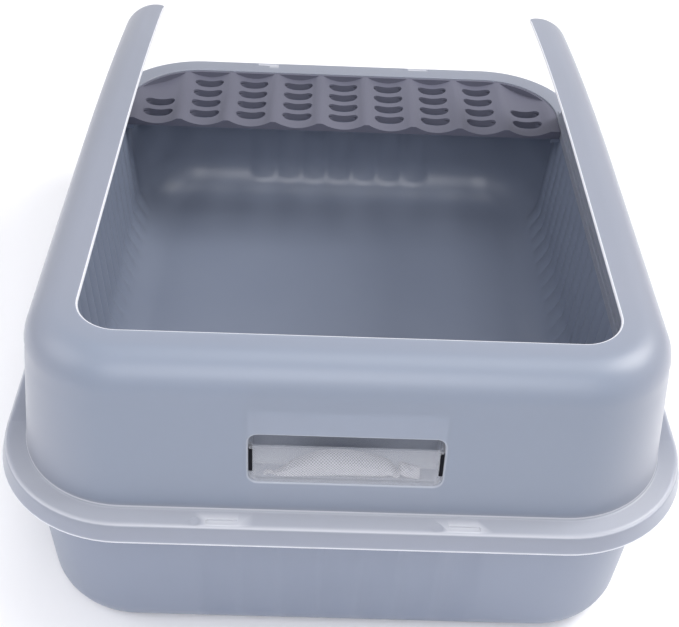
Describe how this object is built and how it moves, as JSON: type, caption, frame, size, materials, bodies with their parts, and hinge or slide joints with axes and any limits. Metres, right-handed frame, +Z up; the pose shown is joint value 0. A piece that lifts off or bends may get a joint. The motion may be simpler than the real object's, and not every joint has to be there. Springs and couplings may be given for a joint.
{
  "type": "cat litter box with hood",
  "caption": "Deep rectangular litter tray under an open-topped frosted hood, with a slotted entry step at the low end and a pull-out odour drawer in the high wall.",
  "frame": {"origin": "on the floor, under the middle of the box", "axes": "+X across the box to the right, +Y along its length towards the low entrance, +Z up"},
  "size_m": [0.4, 0.53, 0.213],
  "materials": {
    "tray_plastic": "blue-grey moulded polypropylene, satin",
    "hood_plastic": "frosted blue-white moulded polypropylene, satin, slightly see-through",
    "step_plastic": "dark grey moulded polypropylene, satin",
    "drawer_plastic": "clear moulded plastic, glossy",
    "pouch_fabric": "white open mesh over a filled sachet"
  },
  "bodies": {
    "tray": {"tray": "tray_plastic"},
    "hood": {"hood": "hood_plastic"},
    "entry_step": {"entry_step": "step_plastic"},
    "odour_drawer": {"odour_drawer": "drawer_plastic", "odour_pouch": "pouch_fabric"}
  },
  "joints": [
    {"name": "hood_lift", "type": "slide", "parent": "tray", "child": "hood", "axis": [0, 0, 1], "range_m": [0, 0.12]},
    {"name": "step_lift", "type": "slide", "parent": "tray", "child": "entry_step", "axis": [0, 0, 1], "range_m": [0, 0.016]},
    {"name": "drawer_slide", "type": "slide", "parent": "hood", "child": "odour_drawer", "axis": [0, -1, 0], "range_m": [0, 0.032]}
  ]
}
